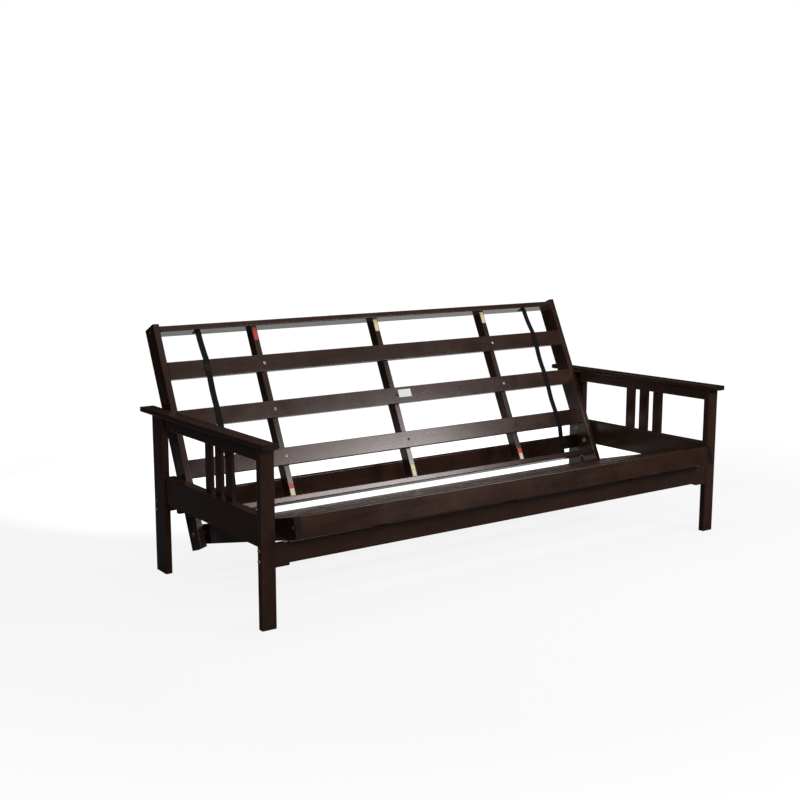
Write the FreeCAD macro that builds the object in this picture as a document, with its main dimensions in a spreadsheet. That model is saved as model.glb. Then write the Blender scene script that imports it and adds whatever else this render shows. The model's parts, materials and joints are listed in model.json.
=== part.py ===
"""Full-size bi-fold futon frame in hardwood, standing as a sofa, in millimetres.

+Z is up, +X runs along the frame and -Y is the side people sit on. The two decks turn on each
other at the pivot bolts. The seat deck lies on two rollers in the front stretcher, and a peg on
each back stile runs in a sloping groove in the arm's lower rail.
"""
import FreeCAD, Part
import math
import os
import re
import Sketcher

SIZES = (
    # arms
    ("overall_width", 2100), ("armrest_wide", 56), ("armrest_thick", 18), ("armrest_deep", 899),
    ("arm_height", 590), ("armrest_front_lap", 27), ("leg_inset", 4), ("leg_spread", 778),
    ("front_leg_wide", 52), ("front_leg_thick", 24), ("rear_leg_wide", 80), ("rear_leg_thick", 26),
    ("rail_thick", 40), ("rail_inset", 8), ("upper_rail_wide", 40), ("lower_rail_wide", 98),
    ("lower_rail_bottom", 260), ("spindle_wide", 44), ("spindle_thick", 12), ("spindle_pitch", 72),
    ("spindle_shift", -25), ("spindle_inset", 3), ("tenon_long", 12),
    # stretchers
    ("stretcher_top", 270), ("stretcher_wide", 67), ("stretcher_thick", 24),
    ("stretcher_setback", 2), ("end_block_long", 50), ("end_block_drop", 8),
    ("rear_stretcher_top", 272), ("rear_stretcher_wide", 74), ("rear_end_long", 60),
    ("rear_end_rise", 18),
    ("cap_radius", 7.5), ("cap_thick", 3), ("cap_place", 78),
    # how the decks hang
    ("seat_tilt", 14.5), ("back_recline", 24.5), ("pivot_reach", 566), ("bed_reach", 420),
    ("arm_gap", 3), ("deck_gap", 8), ("running_gap", 0.3),
    ("seat_roller_radius", 8), ("seat_roller_sink", 5.5), ("notch_side_gap", 1),
    ("peg_radius", 8), ("peg_gap", 2.5), ("groove_deep", 12), ("peg_end_gap", 2),
    ("peg_along", 187), ("peg_back", 19.5), ("lower_bolt_along", 123),
    # both decks
    ("slat_wide", 66), ("slat_thick", 18), ("support_thick", 24), ("support_deep", 44),
    ("support_inset", 398), ("deck_rail_thick", 22), ("hinge_rail_place", 66),
    # seat deck
    ("seat_rail_thick", 24), ("seat_rail_under", 38), ("seat_rail_over", 32),
    ("seat_reach", 654), ("seat_front_thick", 24),
    # back deck
    ("stile_wide", 74), ("stile_thick", 26), ("stile_foot", 52), ("stile_long", 829),
    ("top_rail_drop", 20),
    # straps
    ("strap_wide", 25), ("strap_thick", 2), ("strap_inset", 156),
    ("clip_long", 32), ("clip_thick", 1.5),
    # fasteners
    ("pivot_radius", 5), ("pivot_head_radius", 8), ("pivot_head_thick", 2.5),
    ("pivot_nut_radius", 9), ("pivot_nut_thick", 8), ("washer_radius", 12), ("running_fit", 0.05),
    ("bolt_radius", 4), ("bolt_head_radius", 9), ("bolt_head_thick", 3),
    ("guide_bolt_long", 38), ("stile_bolt_long", 26),
    ("leg_bolt_radius", 3), ("leg_bolt_long", 84), ("leg_head_radius", 6), ("leg_head_thick", 3),
    ("leg_bolt_pitch", 34), ("barrel_radius", 5), ("barrel_inset", 26), ("barrel_cover", 2),
    ("screw_radius", 2), ("screw_long", 40), ("screw_head_radius", 5.5), ("screw_head_thick", 3),
    ("rail_screw_long", 60), ("arm_screw_long", 46), ("arm_screw_inset", 80),
    ("dowel_radius", 4), ("dowel_long", 36), ("dowel_spread", 30), ("low_dowel_rise", 16),
    ("dowel_inset", 8), ("bore_gap", 0.1),
    # edges
    ("board_ease", 3), ("slim_ease", 2),
)

doc = FreeCAD.newDocument("futon_frame")
sheet = doc.addObject("Spreadsheet::Sheet", "Sizes")
for row, (alias, number) in enumerate(SIZES, 1):
    sheet.set(f"A{row}", alias)
    sheet.set(f"B{row}", str(number))
    sheet.setAlias(f"B{row}", alias)
doc.recompute()


def size(alias):
    return float(getattr(sheet, alias))


def bound(formula):
    """A formula of the sheet's names, as an expression for setExpression."""
    return re.sub(r"[a-z]\w+", lambda word: "Sizes." + word.group(0), formula)


# ---------------------------------------------------------------- places worked out from the sizes
half = size("overall_width") / 2
leg_out = half - size("leg_inset")
rail_out = leg_out - size("rail_inset")
rail_in = rail_out - size("rail_thick")
arm_in = half - size("armrest_wide")
stile_out = arm_in - size("arm_gap")
stile_in = stile_out - size("stile_thick")
seat_out = stile_in - size("deck_gap")
seat_in = seat_out - size("seat_rail_thick")
support_at = stile_in - size("support_inset")

tilt = math.radians(size("seat_tilt"))
recline = math.radians(size("back_recline"))
roller_z = size("stretcher_top") - size("seat_roller_sink")
roller_drop = size("seat_roller_radius") + size("running_gap") + size("seat_rail_under")


def pivot_at(lean, reach):
    """The pivot from the front roller's axis, with the seat deck at a lean and a reach."""
    across = roller_drop * math.sin(lean) + reach * math.cos(lean)
    rise = roller_drop * math.cos(lean) - reach * math.sin(lean)
    return across, rise


sofa_reach = (size("pivot_reach") - roller_drop * math.sin(tilt)) / math.cos(tilt)
pivot_z = roller_z + pivot_at(tilt, sofa_reach)[1]
stile_top = size("stile_long") - size("stile_foot")
front_edge = size("seat_reach") * math.cos(tilt) + size("seat_rail_under") * math.sin(tilt)
rear_edge = stile_top * math.sin(recline) + size("stile_wide") / 2 * math.cos(recline)
pivot_y = (front_edge - rear_edge) / 2

roller_y = pivot_y - size("pivot_reach")
leg_front = roller_y - size("stretcher_thick") / 2 - size("stretcher_setback")
leg_rear = leg_front + size("leg_spread")
rail_start = leg_front + size("front_leg_thick")
rail_end = leg_rear - size("rear_leg_wide")
armrest_front = leg_front - size("armrest_front_lap")
armrest_under = size("arm_height") - size("armrest_thick")
upper_rail_bottom = armrest_under - size("upper_rail_wide")
lower_rail_top = size("lower_rail_bottom") + size("lower_rail_wide")
stretcher_bottom = size("stretcher_top") - size("stretcher_wide")
stretcher_mid = {"front": size("stretcher_top") - size("stretcher_wide") / 2,
                 "rear": size("rear_stretcher_top")
                 - (size("rear_stretcher_wide") - size("rear_end_rise")) / 2}

RAIL_SPAN = "leg_spread - front_leg_thick - rear_leg_wide"
ARM = FreeCAD.Placement()
PIVOT = FreeCAD.Vector(0, pivot_y, pivot_z)
X_AXIS = FreeCAD.Vector(1, 0, 0)
# seat frame: local -Y runs forward along the side rails, local Z is square to the deck
SEAT = FreeCAD.Placement(PIVOT, FreeCAD.Rotation(X_AXIS, -size("seat_tilt")))
# back frame: local Z runs up the stiles, local Y is square to the deck, rearward
BACK = FreeCAD.Placement(PIVOT, FreeCAD.Rotation(X_AXIS, -size("back_recline")))

TURN_TO = {
    "x": FreeCAD.Rotation(FreeCAD.Vector(0, 1, 0), 90),
    "y": FreeCAD.Rotation(FreeCAD.Vector(1, 0, 0), -90),
    "z": FreeCAD.Rotation(),
}
nodes = {}


# ---------------------------------------------------------------- building blocks
def put(frame, place, axis="z"):
    return frame.multiply(FreeCAD.Placement(FreeCAD.Vector(*place), TURN_TO[axis]))


def keep(obj, label):
    obj.Label = label
    nodes[label] = obj
    return obj


def box(name, frame, corner, spans):
    obj = doc.addObject("Part::Box", name)
    for side, formula in zip(("Length", "Width", "Height"), spans):
        obj.setExpression(side, bound(formula))
    obj.Placement = put(frame, corner)
    return obj


def rod(name, frame, start, axis, radius, length):
    """A cylinder from start along a frame axis; radius and length are formulas."""
    obj = doc.addObject("Part::Cylinder", name)
    obj.setExpression("Radius", bound(radius))
    obj.setExpression("Height", bound(length))
    obj.Placement = put(frame, start, axis)
    return obj


def eased(name, blank, axis, ease="board_ease"):
    """The blank with its four edges along one axis rounded."""
    blank.recompute()
    run = blank.Placement.Rotation.multVec(FreeCAD.Vector(*(float(k == axis) for k in "xyz")))
    obj = doc.addObject("Part::Fillet", name)
    obj.Base = blank
    found = []
    for number, edge in enumerate(blank.Shape.Edges, 1):
        along = edge.Vertexes[-1].Point.sub(edge.Vertexes[0].Point).normalize()
        if abs(abs(along.dot(run)) - 1) < 1e-6:
            found.append((number, size(ease), size(ease)))
    obj.Edges = found
    return obj


def cut(name, base, tools):
    if not tools:
        return base
    group = doc.addObject("Part::Compound", name + "_bores")
    group.Links = tools
    obj = doc.addObject("Part::Cut", name)
    obj.Base = base
    obj.Tool = group
    return obj


def join(name, pieces):
    obj = doc.addObject("Part::MultiFuse", name)
    obj.Shapes = pieces
    return obj


def bunch(label, pieces):
    """Identical loose pieces kept as one node of separate solids."""
    obj = doc.addObject("Part::Compound", label)
    obj.Links = pieces
    return keep(obj, label)


def plank(label, frame, corner, spans, axis, bores=(), ease="board_ease"):
    blank = box(label + "_blank", frame, corner, spans)
    board = eased(label + "_eased", blank, axis, ease)
    return keep(cut(label + "_board", board, list(bores)), label)


def across(side, inner, outer):
    """The lower X of a board that spans inner to outer on one side."""
    return inner if side > 0 else -outer


# ---------------------------------------------------------------- fasteners and their bores
fastener_sets = {}


def screw(group, frame, head, direction, length, head_radius="screw_head_radius",
          head_thick="screw_head_thick", radius="screw_radius", proud=False):
    """A screw whose head face is at head; direction is axis name and sign. Returns its bores."""
    axis, sign = direction
    pieces = fastener_sets.setdefault(group, [])
    name = f"{group}_{len(pieces)}"
    tall = size(head_thick)

    def part(tag, start, radius_formula, long_alias):
        """One cylinder of the screw, start millimetres behind its head face."""
        low = start if sign > 0 else -start - size(long_alias)
        begin = list(head)
        begin["xyz".index(axis)] += low - (sign * tall if proud else 0)
        return rod(f"{name}_{tag}", frame, begin, axis, radius_formula, long_alias)

    pieces.append(join(name, [part("head", 0, head_radius, head_thick),
                              part("shank", tall, radius, length)]))
    bores = [part("shank_bore", tall, radius + " + bore_gap", length)]
    if not proud:
        bores.append(part("head_bore", 0, head_radius + " + bore_gap", head_thick))
    return bores


def dowel(group, frame, middle, axis):
    """A dowel centred on a joint. Returns the bore that both pieces take."""
    number = len(fastener_sets.setdefault(group, []))
    start = list(middle)
    start["xyz".index(axis)] -= size("dowel_long") / 2
    fastener_sets[group].append(
        rod(f"{group}_{number}", frame, start, axis, "dowel_radius", "dowel_long"))
    deep = list(middle)
    deep["xyz".index(axis)] -= size("dowel_long") / 2 + size("bore_gap")
    return rod(f"{group}_{number}_bore", frame, deep, axis,
               "dowel_radius + bore_gap", "dowel_long + 2 * bore_gap")


# ---------------------------------------------------------------- arms
def groove_ends():
    """Both ends of the peg's way, from the pivot at rest, as the frame folds flat."""
    peg = (size("peg_along") * math.sin(recline) + size("peg_back") * math.cos(recline),
           size("peg_along") * math.cos(recline) - size("peg_back") * math.sin(recline))
    start = pivot_at(tilt, sofa_reach)
    steps = 40
    way = []
    for step in range(steps + 1):
        share = step / steps
        reach = sofa_reach + (size("bed_reach") - sofa_reach) * share
        across_y, rise = pivot_at(tilt * (1 - share), reach)
        turn = -(math.pi / 2 - recline) * share
        way.append((across_y - start[0] + peg[0] * math.cos(turn) - peg[1] * math.sin(turn),
                    rise - start[1] + peg[0] * math.sin(turn) + peg[1] * math.cos(turn)))
    flat = way[-1]
    far = max(way, key=lambda at: math.dist(at, flat))
    # the way bows a little, so the straight groove lies midway between its two sides
    run = ((far[0] - flat[0]) / math.dist(far, flat), (far[1] - flat[1]) / math.dist(far, flat))
    bow = [run[0] * (at[1] - flat[1]) - run[1] * (at[0] - flat[0]) for at in way]
    shift = (max(bow) + min(bow)) / 2
    return [(at[0] - run[1] * shift, at[1] + run[0] * shift) for at in (flat, far)]


def groove(name, side):
    """The tool for the peg's groove in one lower rail: a round-ended slot."""
    flat, far = groove_ends()
    slope = math.degrees(math.atan2(far[1] - flat[1], far[0] - flat[0]))
    floor_x = rail_in if side > 0 else -rail_in - size("groove_deep")
    begin = (floor_x, pivot_y + flat[0], pivot_z + flat[1])
    finish = (floor_x, pivot_y + far[0], pivot_z + far[1])
    ends = [rod(f"{name}_{tag}", ARM, at, "x", "peg_radius + peg_gap", "groove_deep")
            for tag, at in (("low", begin), ("high", finish))]
    middle = doc.addObject("Part::Box", name + "_run")
    middle.Length = math.dist(flat, far)
    middle.setExpression("Width", bound("groove_deep"))
    middle.setExpression("Height", bound("2 * (peg_radius + peg_gap)"))
    lean = FreeCAD.Rotation(X_AXIS, slope)
    quarter = FreeCAD.Rotation(FreeCAD.Vector(0, 0, 1), 90)
    corner = lean.multVec(FreeCAD.Vector(0, 0, -size("peg_radius") - size("peg_gap")))
    shove = FreeCAD.Vector(size("groove_deep"), 0, 0)
    middle.Placement = FreeCAD.Placement(
        FreeCAD.Vector(*begin).add(corner).add(shove), lean.multiply(quarter))
    return join(name, ends + [middle])


def spindle_places():
    middle = (rail_start + rail_end) / 2 + size("spindle_shift")
    return [(name, middle + step * size("spindle_pitch"))
            for name, step in (("front", -1), ("middle", 0), ("rear", 1))]


def mortise(name, side, place, bottom):
    """A bore for a spindle's tenon: the spindle's section plus the bore gap."""
    edge = (across(side, spindle_in, spindle_out) - size("bore_gap"),
            place - size("spindle_wide") / 2 - size("bore_gap"), bottom)
    return box(name, ARM, edge, ("spindle_thick + 2 * bore_gap", "spindle_wide + 2 * bore_gap",
                                 "tenon_long"))


spindle_in = rail_in + size("spindle_inset")
spindle_out = spindle_in + size("spindle_thick")
stretcher_bores = {"front": [], "rear": []}
# both dowels of a lower rail's end stay below the groove
low_dowel = size("lower_rail_bottom") + size("low_dowel_rise")

for word, side in (("left", -1), ("right", 1)):
    inward = -side
    rail_mid_x = side * (rail_in + rail_out) / 2
    dowel_x = side * (rail_out - size("dowel_inset"))
    leg_bores = {"front": [], "rear": []}
    rail_bores = {"upper": [], "lower": [groove(f"{word}_groove", side)]}
    top_bores = []
    # dowels from the rails into the legs, and from the legs up into the armrest
    for rail, heights in (
            ("upper", (armrest_under - size("upper_rail_wide") / 2,)),
            ("lower", (low_dowel, low_dowel + size("dowel_spread")))):
        for height in heights:
            for leg, joint in (("front", rail_start), ("rear", rail_end)):
                bore = dowel("arm_dowels", ARM, (dowel_x, joint, height), "y")
                rail_bores[rail].append(bore)
                leg_bores[leg].append(bore)
    for leg, joint in (("front", leg_front + size("front_leg_thick") / 2),
                       ("rear", leg_rear - size("rear_leg_wide") / 2)):
        sunk = armrest_under - size("dowel_long") / 2 + size("armrest_thick") / 2
        bore = dowel("arm_dowels", ARM, (dowel_x, joint, sunk), "z")
        leg_bores[leg].append(bore)
        top_bores.append(bore)
    # screws up through the upper rail into the armrest
    between = (rail_start + rail_end) / 2 + size("spindle_shift") + size("spindle_pitch") / 2
    for place in (rail_start + size("arm_screw_inset"), between,
                  rail_end - size("arm_screw_inset")):
        bores = screw("armrest_screws", ARM, (rail_mid_x, place, upper_rail_bottom), ("z", 1),
                      "arm_screw_long")
        rail_bores["upper"] += bores
        top_bores.append(bores[0])
    # bolts through the legs into barrel nuts in the stretchers
    for leg, wide, middle_y in (("front", "front_leg_wide", roller_y),
                                ("rear", "rear_leg_thick",
                                 leg_rear - size("stretcher_thick") / 2)):
        end = leg_out - size(wide)
        for step in (-0.5, 0.5):
            height = stretcher_mid[leg] + step * size("leg_bolt_pitch")
            bores = screw("leg_bolts", ARM, (side * leg_out, middle_y, height), ("x", inward),
                          "leg_bolt_long", "leg_head_radius", "leg_head_thick",
                          "leg_bolt_radius", proud=True)
            leg_bores[leg] += bores
            # the nut's pocket opens towards the rear in front, and towards the front behind
            nut_x = side * (end - size("barrel_inset"))
            open_front = leg == "rear"
            nut_y = middle_y - size("stretcher_thick") / 2
            pocket_y = nut_y
            if not open_front:
                nut_y += size("barrel_cover")
                pocket_y = nut_y - size("bore_gap")
            number = len(fastener_sets.setdefault("barrel_nuts", []))
            nut = rod(f"barrel_nuts_{number}", ARM, (nut_x, nut_y, height), "y",
                      "barrel_radius", "stretcher_thick - barrel_cover")
            fastener_sets["barrel_nuts"].append(cut(f"nut_{number}", nut, bores))
            pocket = rod(f"barrel_pocket_{number}", ARM, (nut_x, pocket_y, height), "y",
                         "barrel_radius + bore_gap", "stretcher_thick - barrel_cover + bore_gap")
            stretcher_bores[leg] += bores + [pocket]
    # the boards
    plank(f"{word}_armrest", ARM, (across(side, arm_in, half), armrest_front, armrest_under),
          ("armrest_wide", "armrest_deep", "armrest_thick"), "y", top_bores)
    plank(f"{word}_front_leg", ARM,
          (across(side, leg_out - size("front_leg_wide"), leg_out), leg_front, 0),
          ("front_leg_wide", "front_leg_thick", "arm_height - armrest_thick"), "z",
          leg_bores["front"])
    plank(f"{word}_rear_leg", ARM,
          (across(side, leg_out - size("rear_leg_thick"), leg_out), rail_end, 0),
          ("rear_leg_thick", "rear_leg_wide", "arm_height - armrest_thick"), "z",
          leg_bores["rear"])
    for place_name, place in spindle_places():
        rail_bores["upper"].append(
            mortise(f"{word}_{place_name}_top_mortise", side, place, upper_rail_bottom))
        rail_bores["lower"].append(
            mortise(f"{word}_{place_name}_low_mortise", side, place,
                    lower_rail_top - size("tenon_long")))
        plank(f"{word}_spindle_{place_name}", ARM,
              (across(side, spindle_in, spindle_out), place - size("spindle_wide") / 2,
               lower_rail_top - size("tenon_long")),
              ("spindle_thick", "spindle_wide",
               "arm_height - armrest_thick - upper_rail_wide - lower_rail_wide"
               " - lower_rail_bottom + 2 * tenon_long"), "z", ease="slim_ease")
    plank(f"{word}_upper_rail", ARM, (across(side, rail_in, rail_out), rail_start,
                                      upper_rail_bottom),
          ("rail_thick", RAIL_SPAN, "upper_rail_wide"), "y", rail_bores["upper"],
          ease="slim_ease")
    plank(f"{word}_lower_rail", ARM, (across(side, rail_in, rail_out), rail_start,
                                      size("lower_rail_bottom")),
          ("rail_thick", RAIL_SPAN, "lower_rail_wide"), "y", rail_bores["lower"])


# ---------------------------------------------------------------- stretchers and front rollers
def front_stretcher():
    """A pad of the long board with a deeper block at each end."""
    long_half = leg_out - size("front_leg_wide")
    block = size("end_block_long")
    body = doc.addObject("PartDesign::Body", "front_stretcher_body")
    sketch = body.newObject("Sketcher::SketchObject", "front_stretcher_outline")
    plane = [f for f in body.Origin.OriginFeatures if f.Role == "XZ_Plane"][0]
    sketch.AttachmentSupport = [(plane, "")]
    sketch.MapMode = "FlatFace"
    drop = size("end_block_drop")
    wide = size("stretcher_wide")
    corners = [(-long_half, wide), (long_half, wide), (long_half, -drop),
               (long_half - block, -drop), (long_half - block, 0),
               (block - long_half, 0), (block - long_half, -drop), (-long_half, -drop)]
    points = [FreeCAD.Vector(x, z, 0) for x, z in corners]
    for first, second in zip(points, points[1:] + points[:1]):
        sketch.addGeometry(Part.LineSegment(first, second))
    count = len(points)
    for number in range(count):
        sketch.addConstraint(Sketcher.Constraint("Coincident", number, 2, (number + 1) % count, 1))
        if number:
            run = "Vertical" if number % 2 else "Horizontal"
            sketch.addConstraint(Sketcher.Constraint(run, number))
    sketch.addConstraint(Sketcher.Constraint("Symmetric", 0, 1, 0, 2, -2))
    sketch.addConstraint(Sketcher.Constraint("PointOnObject", 4, 1, -1))
    sketch.addConstraint(Sketcher.Constraint("Equal", 2, 6))
    sketch.addConstraint(Sketcher.Constraint("Horizontal", 1, 2, 7, 1))
    for kind, edge, formula, start in (
            ("DistanceX", 0, "overall_width - 2 * leg_inset - 2 * front_leg_wide", 2 * long_half),
            ("DistanceX", 6, "end_block_long", block),
            ("DistanceY", 1, "stretcher_wide + end_block_drop", wide + drop),
            ("DistanceY", 3, "end_block_drop", drop)):
        ends = (edge, 2, edge, 1) if edge in (1, 6) else (edge, 1, edge, 2)
        index = sketch.addConstraint(Sketcher.Constraint(kind, *ends, start))
        sketch.setExpression(f"Constraints[{index}]", bound(formula))
    pad = body.newObject("PartDesign::Pad", "front_stretcher_pad")
    pad.Profile = sketch
    pad.setExpression("Length", bound("stretcher_thick"))
    doc.recompute()
    body.Placement.Base = FreeCAD.Vector(0, roller_y - pad.Shape.BoundBox.Center.y,
                                         stretcher_bottom)
    return body


NOTCH_LONG = "seat_rail_thick + 2 * notch_side_gap"
side_mid = (seat_in + seat_out) / 2
rollers = []
notches = []
for word, side in (("left", -1), ("right", 1)):
    start = side * side_mid - size("seat_rail_thick") / 2
    rollers.append(rod(f"{word}_roller", ARM, (start, roller_y, roller_z), "x",
                       "seat_roller_radius", "seat_rail_thick"))
    notch_start = start - size("notch_side_gap")
    notches.append(rod(f"{word}_roller_notch", ARM, (notch_start, roller_y, roller_z), "x",
                       "seat_roller_radius + running_gap", NOTCH_LONG))
    notches.append(box(f"{word}_roller_mouth", ARM,
                       (notch_start, roller_y - size("seat_roller_radius")
                        - size("running_gap"), roller_z),
                       (NOTCH_LONG, "2 * (seat_roller_radius + running_gap)",
                        "seat_roller_sink + notch_side_gap")))
bunch("seat_rollers", rollers)
keep(cut("front_stretcher_board", eased("front_stretcher_eased", front_stretcher(), "x"),
         [join("roller_notches", notches)] + stretcher_bores["front"]), "front_stretcher")

rear_half = leg_out - size("rear_leg_thick")
rear_face = leg_rear - size("stretcher_thick")
rear_bottom = size("rear_stretcher_top") - size("rear_stretcher_wide")
cap_at = (size("cap_place"), rear_face - size("cap_thick"), stretcher_mid["rear"])
# its ends are narrower, cut away from below
steps = [box(f"{word}_end_step", ARM,
             (across(side, rear_half - size("rear_end_long"), rear_half), rear_face, rear_bottom),
             ("rear_end_long", "stretcher_thick", "rear_end_rise"))
         for word, side in (("left", -1), ("right", 1))]
plank("rear_stretcher", ARM, (-rear_half, rear_face, rear_bottom),
      ("overall_width - 2 * leg_inset - 2 * rear_leg_thick", "stretcher_thick",
       "rear_stretcher_wide"), "x", steps + stretcher_bores["rear"])
keep(rod("stretcher_cap_disc", ARM, cap_at, "y", "cap_radius", "cap_thick"), "stretcher_cap")


# ---------------------------------------------------------------- decks
def even_places(first, last, count):
    """Slat centres that leave equal gaps between two end rails; ends are (centre, thickness)."""
    (low, low_thick), (high, high_thick) = first, last
    start = low + low_thick / 2
    room = high - high_thick / 2 - start
    gap = (room - count * size("slat_wide")) / (count + 1)
    return [start + gap * (k + 1) + size("slat_wide") * (k + 0.5) for k in range(count)]


SUPPORTS = (("left", -1), ("middle", 0), ("right", 1))
seat_front_mid = size("seat_reach") - size("seat_front_thick") / 2
seat_slats = even_places((size("hinge_rail_place"), size("deck_rail_thick")),
                         (seat_front_mid, size("seat_front_thick")), 3)
top_rail_mid = stile_top - size("top_rail_drop")
back_slats = even_places((size("hinge_rail_place"), size("deck_rail_thick")),
                         (top_rail_mid, size("deck_rail_thick")), 3)
stile_half = size("stile_wide") / 2
seat_top = size("seat_rail_over")
SEAT_INNER = ("overall_width - 2 * (armrest_wide + arm_gap + stile_thick + deck_gap"
              " + seat_rail_thick)")
BACK_INNER = "overall_width - 2 * (armrest_wide + arm_gap + stile_thick)"
DECK_RAIL_DEEP = "slat_thick + support_deep"


def seat_side_rail(word, side, bores):
    """A rail with a half-round heel about the pivot bolt, as a padded sketch."""
    under = size("seat_rail_under")
    over = size("seat_rail_over")
    body = doc.addObject("PartDesign::Body", f"{word}_seat_rail_body")
    sketch = body.newObject("Sketcher::SketchObject", f"{word}_seat_rail_outline")
    plane = [f for f in body.Origin.OriginFeatures if f.Role == "YZ_Plane"][0]
    sketch.AttachmentSupport = [(plane, "")]
    sketch.MapMode = "FlatFace"
    radius = (under + over) / 2
    middle = FreeCAD.Vector(0, over - radius, 0)
    front = -size("seat_reach")
    sketch.addGeometry(Part.LineSegment(FreeCAD.Vector(0, over, 0),
                                        FreeCAD.Vector(front, over, 0)))
    sketch.addGeometry(Part.LineSegment(FreeCAD.Vector(front, over, 0),
                                        FreeCAD.Vector(front, -under, 0)))
    sketch.addGeometry(Part.LineSegment(FreeCAD.Vector(front, -under, 0),
                                        FreeCAD.Vector(0, -under, 0)))
    sketch.addGeometry(Part.ArcOfCircle(
        Part.Circle(middle, FreeCAD.Vector(0, 0, 1), radius), -math.pi / 2, math.pi / 2))
    for first, second in ((0, 1), (1, 2), (2, 3), (3, 0)):
        sketch.addConstraint(Sketcher.Constraint("Coincident", first, 2, second, 1))
    sketch.addConstraint(Sketcher.Constraint("Horizontal", 0))
    sketch.addConstraint(Sketcher.Constraint("Vertical", 1))
    sketch.addConstraint(Sketcher.Constraint("Horizontal", 2))
    for geometry, point in ((0, 1), (2, 2), (3, 3)):
        sketch.addConstraint(Sketcher.Constraint("PointOnObject", geometry, point, -2))
    for kind, ends, formula, start in (
            ("DistanceY", (-1, 1, 0, 1), "seat_rail_over", over),
            ("DistanceY", (1, 2, 1, 1), "seat_rail_under + seat_rail_over", under + over),
            ("DistanceX", (0, 2, 0, 1), "seat_reach", -front)):
        index = sketch.addConstraint(Sketcher.Constraint(kind, *ends, start))
        sketch.setExpression(f"Constraints[{index}]", bound(formula))
    pad = body.newObject("PartDesign::Pad", f"{word}_seat_rail_pad")
    pad.Profile = sketch
    pad.setExpression("Length", bound("seat_rail_thick"))
    doc.recompute()
    edges = [f"Edge{n}" for n, edge in enumerate(pad.Shape.Edges, 1)
             if abs(edge.Vertexes[-1].X - edge.Vertexes[0].X) < 1e-6
             and edge.Length > size("seat_reach") / 2]
    rounded = body.newObject("PartDesign::Fillet", f"{word}_seat_rail_ease")
    rounded.Base = (pad, edges)
    rounded.setExpression("Radius", bound("slim_ease"))
    body.Tip = rounded
    body.Placement = put(SEAT, (across(side, seat_in, seat_out), 0, 0))
    return keep(cut(f"{word}_seat_rail_board", body, bores), f"{word}_seat_rail")


seat_bores = {"left": [], "right": []}
stile_bores = {"left": [], "right": []}
seat_names = ("rear", "middle", "front")
back_names = ("lower", "middle", "upper")
deck_mid = {"seat": seat_top - size("slat_thick") / 2,
            "back": -stile_half + size("slat_thick") / 2}
screw_bores = {}
support_bores = {}


def dowel_rows(wide):
    return (-wide / 4, wide / 4)


# seat slats: screwed down on the supports, dowelled into the side rails
for name, reach in zip(seat_names, seat_slats):
    own = []
    for support, step in SUPPORTS:
        bores = screw("seat_slat_screws", SEAT, (step * support_at, -reach, seat_top),
                      ("z", -1), "screw_long")
        own += bores
        support_bores.setdefault(("seat", support), []).append(bores[0])
    for word, side in (("left", -1), ("right", 1)):
        for shift in dowel_rows(size("slat_wide")):
            bore = dowel("seat_deck_dowels", SEAT,
                         (side * seat_in, -reach + shift, deck_mid["seat"]), "x")
            own.append(bore)
            seat_bores[word].append(bore)
    plank(f"seat_slat_{name}", SEAT,
          (-seat_in, -reach - size("slat_wide") / 2, seat_top - size("slat_thick")),
          (SEAT_INNER, "slat_wide", "slat_thick"), "x", own, ease="slim_ease")

# back slats: the same, on the front of the back deck
for name, rise in zip(back_names, back_slats):
    own = []
    for support, step in SUPPORTS:
        bores = screw("back_slat_screws", BACK, (step * support_at, -stile_half, rise),
                      ("y", 1), "screw_long")
        own += bores
        support_bores.setdefault(("back", support), []).append(bores[0])
    for word, side in (("left", -1), ("right", 1)):
        for shift in dowel_rows(size("slat_wide")):
            bore = dowel("back_deck_dowels", BACK,
                         (side * stile_in, deck_mid["back"], rise + shift), "x")
            own.append(bore)
            stile_bores[word].append(bore)
    plank(f"back_slat_{name}", BACK, (-stile_in, -stile_half, rise - size("slat_wide") / 2),
          (BACK_INNER, "slat_thick", "slat_wide"), "x", own, ease="slim_ease")

# supports: on edge behind the slats, dowelled into the rails at both ends
rail_bores = {"seat_rear": [], "seat_front": [], "back_bottom": [], "back_top": []}
hinge_face = size("hinge_rail_place") + size("deck_rail_thick") / 2
seat_front_face = size("seat_reach") - size("seat_front_thick")
top_rail_face = top_rail_mid - size("deck_rail_thick") / 2
support_mid = size("slat_thick") + size("support_deep") / 2
SEAT_SUPPORT = "seat_reach - seat_front_thick - hinge_rail_place - deck_rail_thick / 2"
BACK_SUPPORT = "stile_long - stile_foot - top_rail_drop - hinge_rail_place - deck_rail_thick"
for support, step in SUPPORTS:
    middle_x = step * support_at
    for rail, place in (("seat_rear", -hinge_face), ("seat_front", -seat_front_face)):
        bore = dowel("seat_deck_dowels", SEAT, (middle_x, place, seat_top - support_mid), "y")
        support_bores[("seat", support)].append(bore)
        rail_bores[rail].append(bore)
    for rail, place in (("back_bottom", hinge_face), ("back_top", top_rail_face)):
        bore = dowel("back_deck_dowels", BACK, (middle_x, support_mid - stile_half, place), "z")
        support_bores[("back", support)].append(bore)
        rail_bores[rail].append(bore)
    plank(f"seat_support_{support}", SEAT,
          (middle_x - size("support_thick") / 2, -seat_front_face,
           seat_top - size("slat_thick") - size("support_deep")),
          ("support_thick", SEAT_SUPPORT, "support_deep"), "y", support_bores[("seat", support)],
          ease="slim_ease")
    plank(f"back_support_{support}", BACK,
          (middle_x - size("support_thick") / 2, size("slat_thick") - stile_half, hinge_face),
          ("support_thick", "support_deep", BACK_SUPPORT), "z", support_bores[("back", support)],
          ease="slim_ease")

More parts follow.
